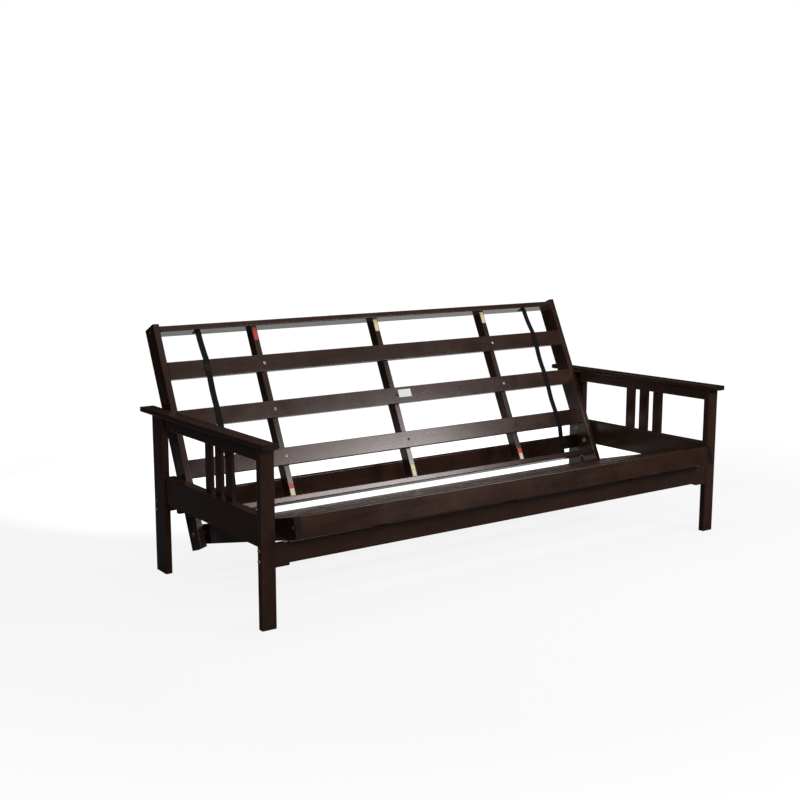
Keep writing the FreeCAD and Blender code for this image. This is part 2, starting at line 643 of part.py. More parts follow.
# rails of both decks, held by a screw through each side
for word, side in (("left", -1), ("right", 1)):
    for rail, place, height in (
            ("seat_rear", -size("hinge_rail_place"), seat_top - support_mid),
            ("seat_front", -seat_front_mid, 0)):
        bores = screw("seat_rail_screws", SEAT, (side * seat_out, place, height), ("x", -side),
                      "rail_screw_long")
        rail_bores[rail].append(bores[0])
        seat_bores[word] += bores
    for rail, place in (("back_bottom", size("hinge_rail_place")), ("back_top", top_rail_mid)):
        bores = screw("back_rail_screws", BACK, (side * stile_out, 0, place), ("x", -side),
                      "rail_screw_long")
        rail_bores[rail].append(bores[0])
        stile_bores[word] += bores
plank("seat_front_rail", SEAT, (-seat_in, -size("seat_reach"), -size("seat_rail_under")),
      (SEAT_INNER, "seat_front_thick", "seat_rail_under + seat_rail_over"), "x",
      rail_bores["seat_front"])
plank("seat_rear_rail", SEAT, (-seat_in, -hinge_face, seat_top - size("slat_thick")
                               - size("support_deep")),
      (SEAT_INNER, "deck_rail_thick", DECK_RAIL_DEEP), "x", rail_bores["seat_rear"])
plank("back_bottom_rail", BACK, (-stile_in, -stile_half,
                                 size("hinge_rail_place") - size("deck_rail_thick") / 2),
      (BACK_INNER, DECK_RAIL_DEEP, "deck_rail_thick"), "x", rail_bores["back_bottom"])
plank("back_top_rail", BACK, (-stile_in, -stile_half, top_rail_face),
      (BACK_INNER, DECK_RAIL_DEEP, "deck_rail_thick"), "x", rail_bores["back_top"])


# ---------------------------------------------------------------- pivots, pegs and bolts
def on_stile(side, start, length, along, back):
    """Start of a rod that runs along +X, given its outward start and its length."""
    return (start if side > 0 else -start - length, back, along)


PIVOT_SHANK = "stile_thick + deck_gap + seat_rail_thick + running_gap + pivot_nut_thick"
peg_long = rail_in + size("groove_deep") - size("peg_end_gap") - stile_out
pivots = []
pegs = []
washers = []
nuts = []
for word, side in (("left", -1), ("right", 1)):
    # pivot bolt: head on the stile, shank through stile, washer and seat rail, nut inside
    shank_long = stile_out - seat_in + size("running_gap") + size("pivot_nut_thick")
    shank_in = stile_out - shank_long
    shank = rod(f"{word}_pivot_shank", BACK, on_stile(side, shank_in, shank_long, 0, 0), "x",
                "pivot_radius", PIVOT_SHANK)
    head = rod(f"{word}_pivot_head", BACK,
               on_stile(side, stile_out, size("pivot_head_thick"), 0, 0), "x",
               "pivot_head_radius", "pivot_head_thick")
    pivots.append(join(f"{word}_pivot", [shank, head]))
    stile_bores[word].append(rod(f"{word}_pivot_stile_bore", BACK,
                                 on_stile(side, stile_in, size("stile_thick"), 0, 0), "x",
                                 "pivot_radius + bore_gap", "stile_thick"))
    seat_bores[word].append(rod(f"{word}_pivot_seat_bore", BACK,
                                on_stile(side, seat_in, size("seat_rail_thick"), 0, 0), "x",
                                "pivot_radius + running_fit", "seat_rail_thick"))
    bore = rod(f"{word}_pivot_small_bore", BACK, on_stile(side, shank_in, shank_long, 0, 0), "x",
               "pivot_radius + bore_gap", PIVOT_SHANK)
    washer = rod(f"{word}_washer_disc", BACK,
                 on_stile(side, seat_out + size("running_gap"),
                          size("deck_gap") - size("running_gap"), 0, 0), "x",
                 "washer_radius", "deck_gap - running_gap")
    washers.append(cut(f"{word}_washer", washer, [bore]))
    nut = rod(f"{word}_nut_disc", BACK,
              on_stile(side, seat_in - size("running_gap") - size("pivot_nut_thick"),
                       size("pivot_nut_thick"), 0, 0), "x",
              "pivot_nut_radius", "pivot_nut_thick")
    nuts.append(cut(f"{word}_nut", nut, [bore]))
    # guide peg on its bolt, and the plain bolt below it
    peg_at = (size("peg_along"), size("peg_back"))
    bores = screw("guide_bolts", BACK, (side * stile_in, peg_at[1], peg_at[0]), ("x", side),
                  "guide_bolt_long", "bolt_head_radius",
                  "bolt_head_thick", "bolt_radius", proud=True)
    stile_bores[word] += bores
    peg = doc.addObject("Part::Cylinder", f"{word}_peg_blank")
    peg.setExpression("Radius", bound("peg_radius"))
    peg.setExpression("Height", bound("arm_gap + armrest_wide - leg_inset - rail_inset"
                                      " - rail_thick + groove_deep - peg_end_gap"))
    peg.Placement = put(BACK, on_stile(side, stile_out, peg_long, *peg_at), "x")
    pegs.append(cut(f"{word}_peg", peg, bores))
    bores = screw("lower_stile_bolts", BACK, (side * stile_in, 0, size("lower_bolt_along")),
                  ("x", side), "stile_bolt_long",
                  "bolt_head_radius", "bolt_head_thick", "bolt_radius", proud=True)
    stile_bores[word] += bores
bunch("pivot_bolts", pivots)
bunch("pivot_washers", washers)
bunch("pivot_nuts", nuts)
bunch("guide_pegs", pegs)

for word, side in (("left", -1), ("right", 1)):
    seat_side_rail(word, side, seat_bores[word])
    plank(f"{word}_back_stile", BACK,
          (across(side, stile_in, stile_out), -stile_half, -size("stile_foot")),
          ("stile_thick", "stile_wide", "stile_long"), "z", stile_bores[word])

# ---------------------------------------------------------------- straps on the front of the back
strap_foot = hinge_face - size("deck_rail_thick")
STRAP_LONG = "stile_long - stile_foot - top_rail_drop - hinge_rail_place + deck_rail_thick"
clips = []
for word, side in (("left", -1), ("right", 1)):
    place = side * (stile_in - size("strap_inset"))
    front = -stile_half - size("strap_thick")
    keep(box(f"{word}_strap_band", BACK, (place - size("strap_wide") / 2, front, strap_foot),
             ("strap_wide", "strap_thick", STRAP_LONG)), f"{word}_strap")
    clips.append(box(f"{word}_clip", BACK,
                     (place - size("strap_wide") / 2, front - size("clip_thick"),
                      back_slats[2] - size("clip_long") / 2),
                     ("strap_wide", "clip_thick", "clip_long")))
bunch("strap_clips", clips)

for group, pieces in fastener_sets.items():
    bunch(group, pieces)

# ---------------------------------------------------------------- check and write
doc.recompute()
failed = [o.Name for o in doc.Objects if "Invalid" in o.State or "Error" in o.State]
failed += [label for label, obj in nodes.items() if obj.Shape.isNull() or not obj.Shape.isValid()]
if failed:
    raise RuntimeError("failed: " + ", ".join(failed))
os.makedirs("parts", exist_ok=True)
for label, obj in nodes.items():
    obj.Shape.exportStep(f"parts/{label}.step")
whole = Part.makeCompound([obj.Shape for obj in nodes.values()]).BoundBox
print(len(nodes), "nodes;", [round(v, 2) for v in (whole.XMin, whole.XMax, whole.YMin, whole.YMax,
                                                  whole.ZMin, whole.ZMax)])
print("pivot", round(pivot_y, 3), round(pivot_z, 3), "roller", round(roller_y, 3), roller_z,
      "slide", round(sofa_reach - size("bed_reach"), 3))
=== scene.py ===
"""Looks for the futon frame.

Espresso-stained boards, turned hardware, webbing straps, blank stickers and a white studio.
"""
import bpy
import bmesh
import json
import math
from mathutils import Matrix, Vector


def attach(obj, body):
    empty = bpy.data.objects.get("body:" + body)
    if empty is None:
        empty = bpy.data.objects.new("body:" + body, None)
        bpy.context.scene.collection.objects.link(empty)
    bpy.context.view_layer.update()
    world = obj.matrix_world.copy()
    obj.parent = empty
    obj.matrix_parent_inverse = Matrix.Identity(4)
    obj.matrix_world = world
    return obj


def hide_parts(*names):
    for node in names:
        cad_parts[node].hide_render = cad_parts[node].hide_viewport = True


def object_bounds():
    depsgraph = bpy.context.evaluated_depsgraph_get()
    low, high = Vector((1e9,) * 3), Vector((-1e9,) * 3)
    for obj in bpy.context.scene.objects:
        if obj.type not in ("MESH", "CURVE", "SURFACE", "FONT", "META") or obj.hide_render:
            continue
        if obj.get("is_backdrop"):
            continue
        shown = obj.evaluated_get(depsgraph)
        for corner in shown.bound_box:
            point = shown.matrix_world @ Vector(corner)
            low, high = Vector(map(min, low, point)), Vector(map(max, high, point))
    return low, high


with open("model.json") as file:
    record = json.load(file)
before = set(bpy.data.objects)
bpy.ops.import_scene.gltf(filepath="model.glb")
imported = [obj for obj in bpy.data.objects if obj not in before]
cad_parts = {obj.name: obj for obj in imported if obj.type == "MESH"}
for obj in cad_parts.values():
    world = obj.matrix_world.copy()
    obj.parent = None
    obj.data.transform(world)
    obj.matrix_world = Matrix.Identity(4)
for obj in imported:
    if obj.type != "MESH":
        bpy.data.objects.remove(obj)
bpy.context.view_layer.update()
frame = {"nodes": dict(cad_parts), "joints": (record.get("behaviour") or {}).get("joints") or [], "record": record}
nodes = frame["nodes"]
bodies = frame["record"]["behaviour"]["bodies"]
scene = bpy.context.scene

SEAT_TILT = math.radians(14.5)
BACK_TILT = math.radians(24.5)
LEANS = {"seat_deck": SEAT_TILT, "back_deck": BACK_TILT}   # the other bodies stand straight
PIVOT = Vector(next(j for j in frame["joints"] if j["name"] == "back_fold")["pos_m"])


# ------------------------------------------------------------------ node helpers
class Shader:
    """A small builder for one node material."""

    def __init__(self, name):
        self.material = bpy.data.materials.new(name)
        self.material.use_nodes = True
        self.tree = self.material.node_tree
        self.bsdf = self.tree.nodes["Principled BSDF"]

    def add(self, kind, **settings):
        node = self.tree.nodes.new(kind)
        for key, value in settings.items():
            setattr(node, key, value)
        return node

    def wire(self, source, target):
        self.tree.links.new(source, target)

    def coords(self, turn_x=0.0, stretch=(1, 1, 1), shift=(0, 0, 0)):
        """Object coordinates, turned about X into a board's own axes and then stretched."""
        place = self.add("ShaderNodeTexCoord")
        turn = self.add("ShaderNodeVectorRotate", rotation_type="X_AXIS")
        turn.inputs["Angle"].default_value = turn_x
        self.wire(place.outputs["Object"], turn.inputs["Vector"])
        scale = self.add("ShaderNodeMapping")
        scale.inputs["Scale"].default_value = stretch
        scale.inputs["Location"].default_value = shift
        self.wire(turn.outputs["Vector"], scale.inputs["Vector"])
        return scale.outputs["Vector"]

    def facing(self, turn_x, axis):
        """How far a face looks along one of a board's own axes, -1 to 1."""
        place = self.add("ShaderNodeTexCoord")
        turn = self.add("ShaderNodeVectorRotate", rotation_type="X_AXIS")
        turn.inputs["Angle"].default_value = turn_x
        self.wire(place.outputs["Normal"], turn.inputs["Vector"])
        parts = self.add("ShaderNodeSeparateXYZ")
        self.wire(turn.outputs["Vector"], parts.inputs["Vector"])
        return parts.outputs[axis.upper()]

    def noise(self, vector, scale, detail=4.0, rough=0.6, warp=0.0):
        node = self.add("ShaderNodeTexNoise")
        node.inputs["Scale"].default_value = scale
        node.inputs["Detail"].default_value = detail
        node.inputs["Roughness"].default_value = rough
        node.inputs["Distortion"].default_value = warp
        self.wire(vector, node.inputs["Vector"])
        return node.outputs["Fac"]

    def ramp(self, value, stops):
        """Stops are (position, colour or grey)."""
        node = self.add("ShaderNodeValToRGB")
        points = node.color_ramp.elements
        while len(points) < len(stops):
            points.new(0.5)
        for point, (place, colour) in zip(points, stops):
            point.position = place
            grey = isinstance(colour, (int, float))
            point.color = (colour, colour, colour, 1) if grey else (*colour, 1)
        self.wire(value, node.inputs["Fac"])
        return node.outputs["Color"]

    def mix(self, share, first, second):
        node = self.add("ShaderNodeMix", data_type="RGBA")
        for socket, value in ((node.inputs["Factor"], share), (node.inputs["A"], first),
                              (node.inputs["B"], second)):
            if isinstance(value, bpy.types.NodeSocket):
                self.wire(value, socket)
            elif isinstance(value, tuple):
                socket.default_value = (*value, 1)
            else:
                socket.default_value = value
        return node.outputs["Result"]

    def math(self, operation, first, second=0.0):
        node = self.add("ShaderNodeMath", operation=operation)
        for socket, value in zip(node.inputs, (first, second)):
            if isinstance(value, bpy.types.NodeSocket):
                self.wire(value, socket)
            else:
                socket.default_value = value
        return node.outputs["Value"]

    def bump(self, height, distance, strength=1.0, under=None):
        node = self.add("ShaderNodeBump")
        node.inputs["Distance"].default_value = distance
        node.inputs["Strength"].default_value = strength
        self.wire(height, node.inputs["Height"])
        if under is not None:
            self.wire(under, node.inputs["Normal"])
        return node.outputs["Normal"]

    def set(self, **inputs):
        for key, value in inputs.items():
            socket = self.bsdf.inputs[key.replace("_", " ")]
            if isinstance(value, bpy.types.NodeSocket):
                self.wire(value, socket)
            elif isinstance(value, tuple):
                socket.default_value = (*value, 1) if len(value) == 3 else value
            else:
                socket.default_value = value
        return self


# how the grain's noise is scaled along each axis of a board, by the way the board runs
GRAIN = {"x": (0.9, 9, 9), "y": (9, 0.9, 9), "z": (9, 9, 0.9)}
# colours of the stained boards: the stain from dark to light, then what differs from it
STAIN = [(0.32, (0.0190, 0.0080, 0.0050)), (0.5, (0.0290, 0.0124, 0.0078)),
         (0.68, (0.0400, 0.0172, 0.0106))]
PORE = (0.007, 0.0038, 0.0030)
END_GRAIN = (0.0085, 0.0085, 0.0095)
RUBBED = (0.080, 0.036, 0.020)
BARE = [(0.3, (0.36, 0.22, 0.11)), (0.7, (0.52, 0.36, 0.20))]
SHEEN = (1.0, 0.90, 0.89)   # tint of the lacquer's reflections


def espresso(name, axis, turn, seed, bare_under=False):
    """Dark stain over straight grain, under satin lacquer, thin and reddish along the edges.

    End grain takes more stain; a slat's underside can be left bare.
    """
    s = Shader(name)
    stretch = GRAIN[axis]
    shift = (seed * 1.7, seed * 2.3, seed * 0.9)
    board = s.coords(turn, stretch, shift)
    broad = s.noise(board, 2.2, 3.0, 0.5, 0.6)
    fine = s.noise(board, 26.0, 5.0, 0.7)
    pores = s.noise(s.coords(turn, tuple(3.5 * v for v in stretch), shift), 38.0, 2.0, 0.6)
    tone = s.mix(0.35, broad, fine)
    stain = s.ramp(tone, STAIN)
    pore = s.ramp(pores, [(0.34, 0.0), (0.46, 1.0)])
    stain = s.mix(pore, s.mix(0.25, stain, PORE), stain)
    end_grain = s.ramp(s.math("ABSOLUTE", s.facing(turn, axis)), [(0.75, 0.0), (0.95, 1.0)])
    stain = s.mix(end_grain, stain, END_GRAIN)
    if bare_under:
        under = s.ramp(s.math("MULTIPLY", s.facing(turn, "z"), -1.0), [(0.05, 0.0), (0.25, 1.0)])
        stain = s.mix(under, stain, s.ramp(fine, BARE))
    edges = s.add("ShaderNodeNewGeometry")
    rub = s.ramp(edges.outputs["Pointiness"], [(0.515, 0.0), (0.56, 1.0)])
    patchy = s.math("MULTIPLY", rub, s.ramp(s.noise(s.coords(), 14.0), [(0.42, 0.0), (0.7, 0.15)]))
    colour = s.mix(patchy, stain, RUBBED)
    smears = s.noise(s.coords(), 7.0, 3.0, 0.55)
    rough = s.math("ADD", s.ramp(smears, [(0.3, 0.19), (0.7, 0.24)]),
                   s.ramp(fine, [(0.3, 0.0), (0.8, 0.03)]))
    pitted = s.bump(pore, 0.00003, 0.3, s.bump(broad, 0.0003, 0.2))
    s.set(Base_Color=colour, Roughness=rough, Normal=pitted, IOR=1.5, Specular_Tint=SHEEN)
    return s.material


def steel(name, tone, bright=0.0):
    """Plated steel; bright plating is whiter and scatters more of the light round it."""
    s = Shader(name)
    haze = s.noise(s.coords(), 180.0, 3.0)
    s.set(Base_Color=s.mix(haze, tuple((0.7 + 0.2 * bright) * c for c in tone), tone),
          Metallic=1.0 - 0.45 * bright,
          Roughness=s.ramp(haze, [(0.3, 0.22 + 0.12 * bright), (0.7, 0.42)]),
          Normal=s.bump(haze, 0.00005, 0.4))
    return s.material


def plastic(name, colour, rough=0.45):
    s = Shader(name)
    mottle = s.noise(s.coords(), 240.0, 3.0)
    s.set(Base_Color=s.mix(mottle, tuple(0.9 * c for c in colour), colour),
          Roughness=s.ramp(mottle, [(0.3, rough - 0.06), (0.7, rough + 0.06)]),
          Normal=s.bump(mottle, 0.00006, 0.3))
    return s.material


def bare_wood(name):
    s = Shader(name)
    grain = s.noise(s.coords(0, (9, 9, 1)), 30.0, 4.0)
    s.set(Base_Color=s.ramp(grain, [(0.3, (0.36, 0.22, 0.11)), (0.7, (0.58, 0.40, 0.22))]),
          Roughness=0.7, Normal=s.bump(grain, 0.0001, 0.4))
    return s.material


# ------------------------------------------------------------------ finishes on the CAD nodes
def body_of(node):
    return next(b for b, members in bodies.items() if node in members)


def grain_of(node):
    """The long axis of a board and the turn that brings its body's deck level or upright."""
    turn = LEANS.get(body_of(node), 0.0)
    turned = Matrix.Rotation(turn, 3, "X")
    points = [turned @ v.co for v in nodes[node].data.vertices]
    spans = [max(p[k] for p in points) - min(p[k] for p in points) for k in range(3)]
    return "xyz"[spans.index(max(spans))], turn


def dress(obj, material):
    obj.data.materials.clear()
    obj.data.materials.append(material)


def soften(obj):
    """Smooth shading over the small edge rounds, while the broad faces stay flat."""
    for face in obj.data.polygons:
        face.use_smooth = True
    weights = obj.modifiers.new("weights", "WEIGHTED_NORMAL")
    weights.keep_sharp = True


slots = {entry["node"]: entry["material_slot"] for entry in frame["record"]["subparts"]}
zinc = steel("zinc", (0.90, 0.87, 0.78), 1.0)
dull_zinc = steel("dull_zinc", (0.22, 0.21, 0.19))
bronze = steel("bronze", (0.46, 0.36, 0.17), 1.0)
aged_bronze = steel("aged_bronze", (0.16, 0.11, 0.05))
# a dark brown for some screw heads
dark_brown_head = plastic("dark_brown_head", (0.030, 0.014, 0.009), 0.35)
black_steel = steel("black_steel", (0.030, 0.030, 0.033))
# painted shade: a dark colour put into the hollows of screw heads and clip screws
recess_shade = plastic("recess_shadow", (0.012, 0.011, 0.010), 0.7)
nylon = plastic("nylon", (0.78, 0.76, 0.68))
white_plastic = plastic("white_plastic", (0.85, 0.85, 0.83))
beech = bare_wood("beech")
fixed = {"zinc_steel": zinc, "nylon": nylon, "white_plastic": white_plastic,
         "beech_dowel": beech, "black_steel": black_steel}
for seed, name in enumerate(sorted(nodes)):
    slot = slots[name]
    if name == "barrel_nuts":
        dress(nodes[name], aged_bronze)
    elif slot in fixed:
        dress(nodes[name], fixed[slot])
    elif slot == "espresso_wood":
        axis, turn = grain_of(name)
        dress(nodes[name], espresso("stain_" + name, axis, turn, seed, "seat_slat" in name))
        soften(nodes[name])


# ------------------------------------------------------------------ pieces in a deck's own axes
def deck(body):
    """The matrix from a body's own level axes to the world, about the pivot."""
    lean = LEANS.get(body, 0.0)
    spot = PIVOT if lean else Vector()
    return Matrix.Translation(spot) @ Matrix.Rotation(-lean, 4, "X")


def piece(name, mesh, body, slot, materials, *stands_for):
    """A new visible piece on a body, in place of the CAD nodes it stands for, if any."""
    obj = bpy.data.objects.new(name, mesh)
    scene.collection.objects.link(obj)
    for material in materials:
        mesh.materials.append(material)
    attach(obj, body)
    if stands_for:
        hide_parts(*stands_for)


WELD = 1e-6           # corners closer than this are one corner
SAME_LEVEL = 0.0006   # and this close along a screw they are at one level
THINNEST_HEAD = 0.0004
TURNED_SIDES = 36


def islands(node, to_local):
    """The loose solids of a node, each as its points in a deck's axes."""
    bm = bmesh.new()
    bm.from_mesh(nodes[node].data)
    bmesh.ops.remove_doubles(bm, verts=bm.verts[:], dist=WELD)
    taken = set()
    found = []
    for first in bm.verts:
        if first in taken:
            continue
        taken.add(first)
        stack = [first]
        group = []
        while stack:
            vert = stack.pop()
            group.append(to_local @ vert.co)
            for edge in vert.link_edges:
                other = edge.other_vert(vert)
                if other not in taken:
                    taken.add(other)
                    stack.append(other)
        found.append(group)
    bm.free()
    return found


def cross_recess(angle):
    return 0.30 + 0.70 * abs(math.cos(2 * angle)) ** 4


def hex_recess(angle):
    return math.cos(math.radians(30)) / math.cos(angle % math.radians(60) - math.radians(30))


def lathe(bm, rings, base, axis, recess_shape, dark_rings, plain=0):
    """Turned metal: rings are (radius, depth, shaped); depth runs along axis from base.

    The first dark_rings bands, which are the hollow in the head, and the hollow's floor take
    material 1, the hollow's painted shade; the rest takes the material numbered plain.
    """
    side = axis.orthogonal().normalized()
    other = axis.cross(side)
    loops = []
    for radius, depth, shaped in rings:
        loop = []
        for k in range(TURNED_SIDES):
            angle = 2 * math.pi * k / TURNED_SIDES
            reach = radius * (recess_shape(angle) if shaped else 1.0)
            loop.append(bm.verts.new(base + axis * depth + side * (reach * math.cos(angle))
                                     + other * (reach * math.sin(angle))))
        loops.append(loop)
    faces = []
    for row, (first, second) in enumerate(zip(loops, loops[1:])):
        for k in range(TURNED_SIDES):
            after = (k + 1) % TURNED_SIDES
            face = bm.faces.new((first[k], first[after], second[after], second[k]))
            face.material_index = 1 if row < dark_rings else plain
            face.smooth = True
            faces.append(face)
    bottom = bm.faces.new(loops[0])
    bottom.material_index = 1
    tip = bm.faces.new(loops[-1])
    bmesh.ops.recalc_face_normals(bm, faces=faces + [bottom, tip])


def screws(node, metal, recess_shape, recess_size, brown_regions=()):
    """Every screw of a node again, with a crowned, recessed head and a threaded-size shank.

    The last argument lists regions (low x, high x, low z, high z), in the deck's axes, where
    the heads are coloured a dark brown close to the boards' colour.
    """
    body = body_of(node)
    place = deck(body)
    bm = bmesh.new()
    for group in islands(node, place.inverted()):
        low = [min(p[k] for p in group) for k in range(3)]
        high = [max(p[k] for p in group) for k in range(3)]
        spans = [b - a for a, b in zip(low, high)]
        run = spans.index(max(spans))
        middle = Vector([(a + b) / 2 for a, b in zip(low, high)])
        wide = max(spans[k] for k in range(3) if k != run)

        def girth(level):
            near = [p for p in group if abs(p[run] - level) < SAME_LEVEL]
            return max((p - middle)[k] for p in near for k in range(3) if k != run)

        sign = 1 if girth(low[run]) > girth(high[run]) else -1
        radius = wide / 2
        shank = girth(high[run] if sign > 0 else low[run])
        start = middle.copy()
        start[run] = low[run] if sign > 0 else high[run]
        levels = sorted({round(abs(p[run] - start[run]), 5) for p in group})
        tall = next(v for v in levels if v > THINNEST_HEAD)
        axis = Vector()
        axis[run] = sign
        hole = radius * recess_size
        rings = [(hole * 0.45, tall * 0.62, True), (hole * 0.92, tall * 0.55, True),
                 (hole, tall * 0.06, True), (hole * 1.12, tall * 0.01, False),
                 (radius * 0.80, tall * 0.05, False), (radius * 0.94, tall * 0.18, False),
                 (radius * 0.995, tall * 0.45, False), (radius * 0.995, tall, False),
                 (shank, tall, False), (shank, spans[run] - shank * 0.8, False),
                 (shank * 0.3, spans[run], False)]
        in_brown = any(low_x < start.x < high_x and low_z < start.z < high_z
                     for low_x, high_x, low_z, high_z in brown_regions)
        lathe(bm, rings, start, axis, recess_shape, 2, 2 if in_brown else 0)
    bm.transform(place)
    mesh = bpy.data.meshes.new("turned_" + node)
    bm.to_mesh(mesh)
    bm.free()
    metals = [metal, recess_shade, dark_brown_head] if brown_regions else [metal, recess_shade]
    piece("turned_" + node, mesh, body, "zinc_steel", metals, node)


# the heads coloured dark brown: the middle support's screws, and the right support's lowest one
BROWN_HEADS = [(-0.1, 0.1, -1.0, 1.0), (0.5, 0.6, 0.0, 0.30)]
screws("back_slat_screws", zinc, hex_recess, 0.66, BROWN_HEADS)
screws("seat_slat_screws", dull_zinc, hex_recess, 0.56)
for node in ("back_rail_screws", "seat_rail_screws", "armrest_screws"):
    screws(node, bronze, cross_recess, 0.55)
for node in ("guide_bolts", "lower_stile_bolts", "leg_bolts", "pivot_bolts"):
    screws(node, bronze, hex_recess, 0.40)


# ------------------------------------------------------------------ webbing straps and their clips
def webbing(name):
    """Plain woven tape: bars across and rows along."""
    s = Shader(name)
    along = s.coords(BACK_TILT)
    bars = s.add("ShaderNodeTexWave", wave_type="BANDS", bands_direction="Z")
    bars.inputs["Scale"].default_value = 160.0
    bars.inputs["Distortion"].default_value = 1.0
    s.wire(along, bars.inputs["Vector"])
    rows = s.add("ShaderNodeTexWave", wave_type="BANDS", bands_direction="X")
    rows.inputs["Scale"].default_value = 110.0
    s.wire(along, rows.inputs["Vector"])
    weave = s.math("MULTIPLY", bars.outputs["Fac"], rows.outputs["Fac"])
    s.set(Base_Color=s.ramp(weave, [(0.0, (0.003, 0.003, 0.0035)), (1.0, (0.011, 0.011, 0.012))]),
          Roughness=0.7, Specular_IOR_Level=0.12, Normal=s.bump(weave, 0.0004, 0.8))
    return s.material


TAPE_THICK = 0.0016
TAPE_STEP = 0.012     # the longest straight piece of tape in the mesh
TAPE_BEND = 0.008     # radius of the tape where it turns over an edge
TAPE_SAG = 0.0035     # how far the tape hangs back between two slats
TOP_END, TOP_TURN = 0.042, 0.014  # under the top rail, from its front
FOOT_TURN = 0.028                 # where it bends onto the bottom rail, from that rail's front
HEM_FROM, HEM_TO = 0.031, 0.050   # the doubled hem, from the same face
PAST_EDGE = 0.003     # how far past a slat's edges the tape stays flat
HEM_RISE = 1.05       # of the tape's thickness, between the hem's two layers
LIFT = 0.0002         # the gap under a tape
CORNER_STEPS = 6
CORNER_SHARE = 0.45   # the most of a straight run that a rounded corner takes


def rounded_path(points, radius):
    """The points joined by straight runs, with each corner rounded."""
    path = [points[0]]
    for before, corner, after in zip(points, points[1:], points[2:]):
        enter, leave = (run.normalized() * min(radius, run.length * CORNER_SHARE)
                        for run in (before - corner, after - corner))
        for k in range(CORNER_STEPS + 1):
            share = k / CORNER_STEPS
            path.append(corner + enter * (1 - share) ** 2 + leave * share ** 2)
    path.append(points[-1])
    return path


def tape(bm, path, middle_x, wide, thick):
    """A flat woven tape along a path of (depth, height) points, with rounded selvedges."""
    fine = []
    for first, second in zip(path, path[1:]):
        count = max(1, round((second - first).length / TAPE_STEP))
        fine += [first.lerp(second, k / count) for k in range(count)]
    fine.append(path[-1])
    outline = [(-0.5, 0.0), (-0.485, 0.40), (-0.45, 0.5), (0.45, 0.5), (0.485, 0.40), (0.5, 0.0),
               (0.485, -0.40), (0.45, -0.5), (-0.45, -0.5), (-0.485, -0.40)]
    loops = []
    for k, at in enumerate(fine):
        run = (fine[min(k + 1, len(fine) - 1)] - fine[max(k - 1, 0)]).normalized()
        out = Vector((run.y, -run.x))
        loop = []
        for across, up in outline:
            spot = at + out * (up * thick)
            loop.append(bm.verts.new((middle_x + across * wide, spot.x, spot.y)))
        loops.append(loop)
    faces = []
    for first, second in zip(loops, loops[1:]):
        for k in range(len(outline)):
            after = (k + 1) % len(outline)
            face = bm.faces.new((first[k], first[after], second[after], second[k]))
            face.smooth = True
            faces.append(face)
    faces += [bm.faces.new(loops[0]), bm.faces.new(loops[-1])]
    bmesh.ops.recalc_face_normals(bm, faces=faces)


black_webbing = webbing("black_webbing")
back = deck("back_deck")
back_inverse = back.inverted()


def local_box(node):
    """The lowest and highest corners of one of the back deck's nodes, in that deck's axes."""
    points = [back_inverse @ v.co for v in nodes[node].data.vertices]
    return (Vector([min(p[k] for p in points) for k in range(3)]),
            Vector([max(p[k] for p in points) for k in range(3)]))


top_low = local_box("back_top_rail")[0]
foot_low, foot_high = local_box("back_bottom_rail")
slats = [local_box("back_slat_" + place) for place in ("upper", "middle", "lower")]


def slack(first, last, sag):
    """A loose run of tape between two (depth, height) points, hanging back by sag."""
    return [first.lerp(last, share) + Vector((4 * sag * share * (1 - share), 0))
            for share in (0.0, 0.2, 0.4, 0.6, 0.8, 1.0)]


for word in ("left", "right"):
    low, high = local_box(word + "_strap")
    front = slats[0][0].y - TAPE_THICK / 2 - LIFT
    under = top_low.z - TAPE_THICK / 2 - LIFT
    on_rail = foot_high.z + TAPE_THICK / 2 + LIFT
    route = [Vector((top_low.y + TOP_END, under))]
    leave = Vector((top_low.y + TOP_TURN, under))
    for slat_low, slat_high in slats:
        route += slack(leave, Vector((front, slat_high.z + PAST_EDGE)), TAPE_SAG)
        leave = Vector((front, slat_low.z - PAST_EDGE))
    route += [leave, Vector((foot_low.y + FOOT_TURN, on_rail)),
              Vector((foot_low.y + HEM_TO, on_rail))]
    hem = [Vector((foot_low.y + depth, on_rail + TAPE_THICK * HEM_RISE))
           for depth in (HEM_FROM, HEM_TO)]
    bm = bmesh.new()
    middle = (low.x + high.x) / 2
    tape(bm, rounded_path(route, TAPE_BEND), middle, high.x - low.x, TAPE_THICK)
    tape(bm, hem, middle, high.x - low.x, TAPE_THICK)
    bm.transform(back)
    mesh = bpy.data.meshes.new(word + "_webbing")
    bm.to_mesh(mesh)
    bm.free()
    piece(word + "_webbing", mesh, "back_deck", "black_webbing", [black_webbing],
          word + "_strap")


PLATE_STEPS = 5       # facets in each rounded corner of a plate
RIM_DEEP, RIM_DRAW = 0.0002, 0.0003   # the slope round a plate's front


def plate(bm, low, high, round_off):
    """A flat plate in the deck's X and Z with rounded corners; its front faces -Y."""
    left, right = low.x + round_off, high.x - round_off
    foot, head = low.z + round_off, high.z - round_off
    corners = ((right, head, 0), (left, head, 1), (left, foot, 2), (right, foot, 3))
    loops = []
    for y, draw in ((high.y, 0.0), (low.y + RIM_DEEP, 0.0), (low.y, RIM_DRAW)):
        loop = []
        for x, z, quarter in corners:
            for k in range(PLATE_STEPS + 1):
                angle = math.radians(90) * (quarter + k / PLATE_STEPS)
                reach = round_off - draw
                loop.append(bm.verts.new((x + reach * math.cos(angle), y,
                                          z + reach * math.sin(angle))))
        loops.append(loop)
    count = len(loops[0])
    faces = [bm.faces.new(loops[0]), bm.faces.new(loops[-1])]
    for first, second in zip(loops, loops[1:]):
        faces += [bm.faces.new((first[k], first[(k + 1) % count], second[(k + 1) % count],
                                second[k])) for k in range(count)]
    bmesh.ops.recalc_face_normals(bm, faces=faces)


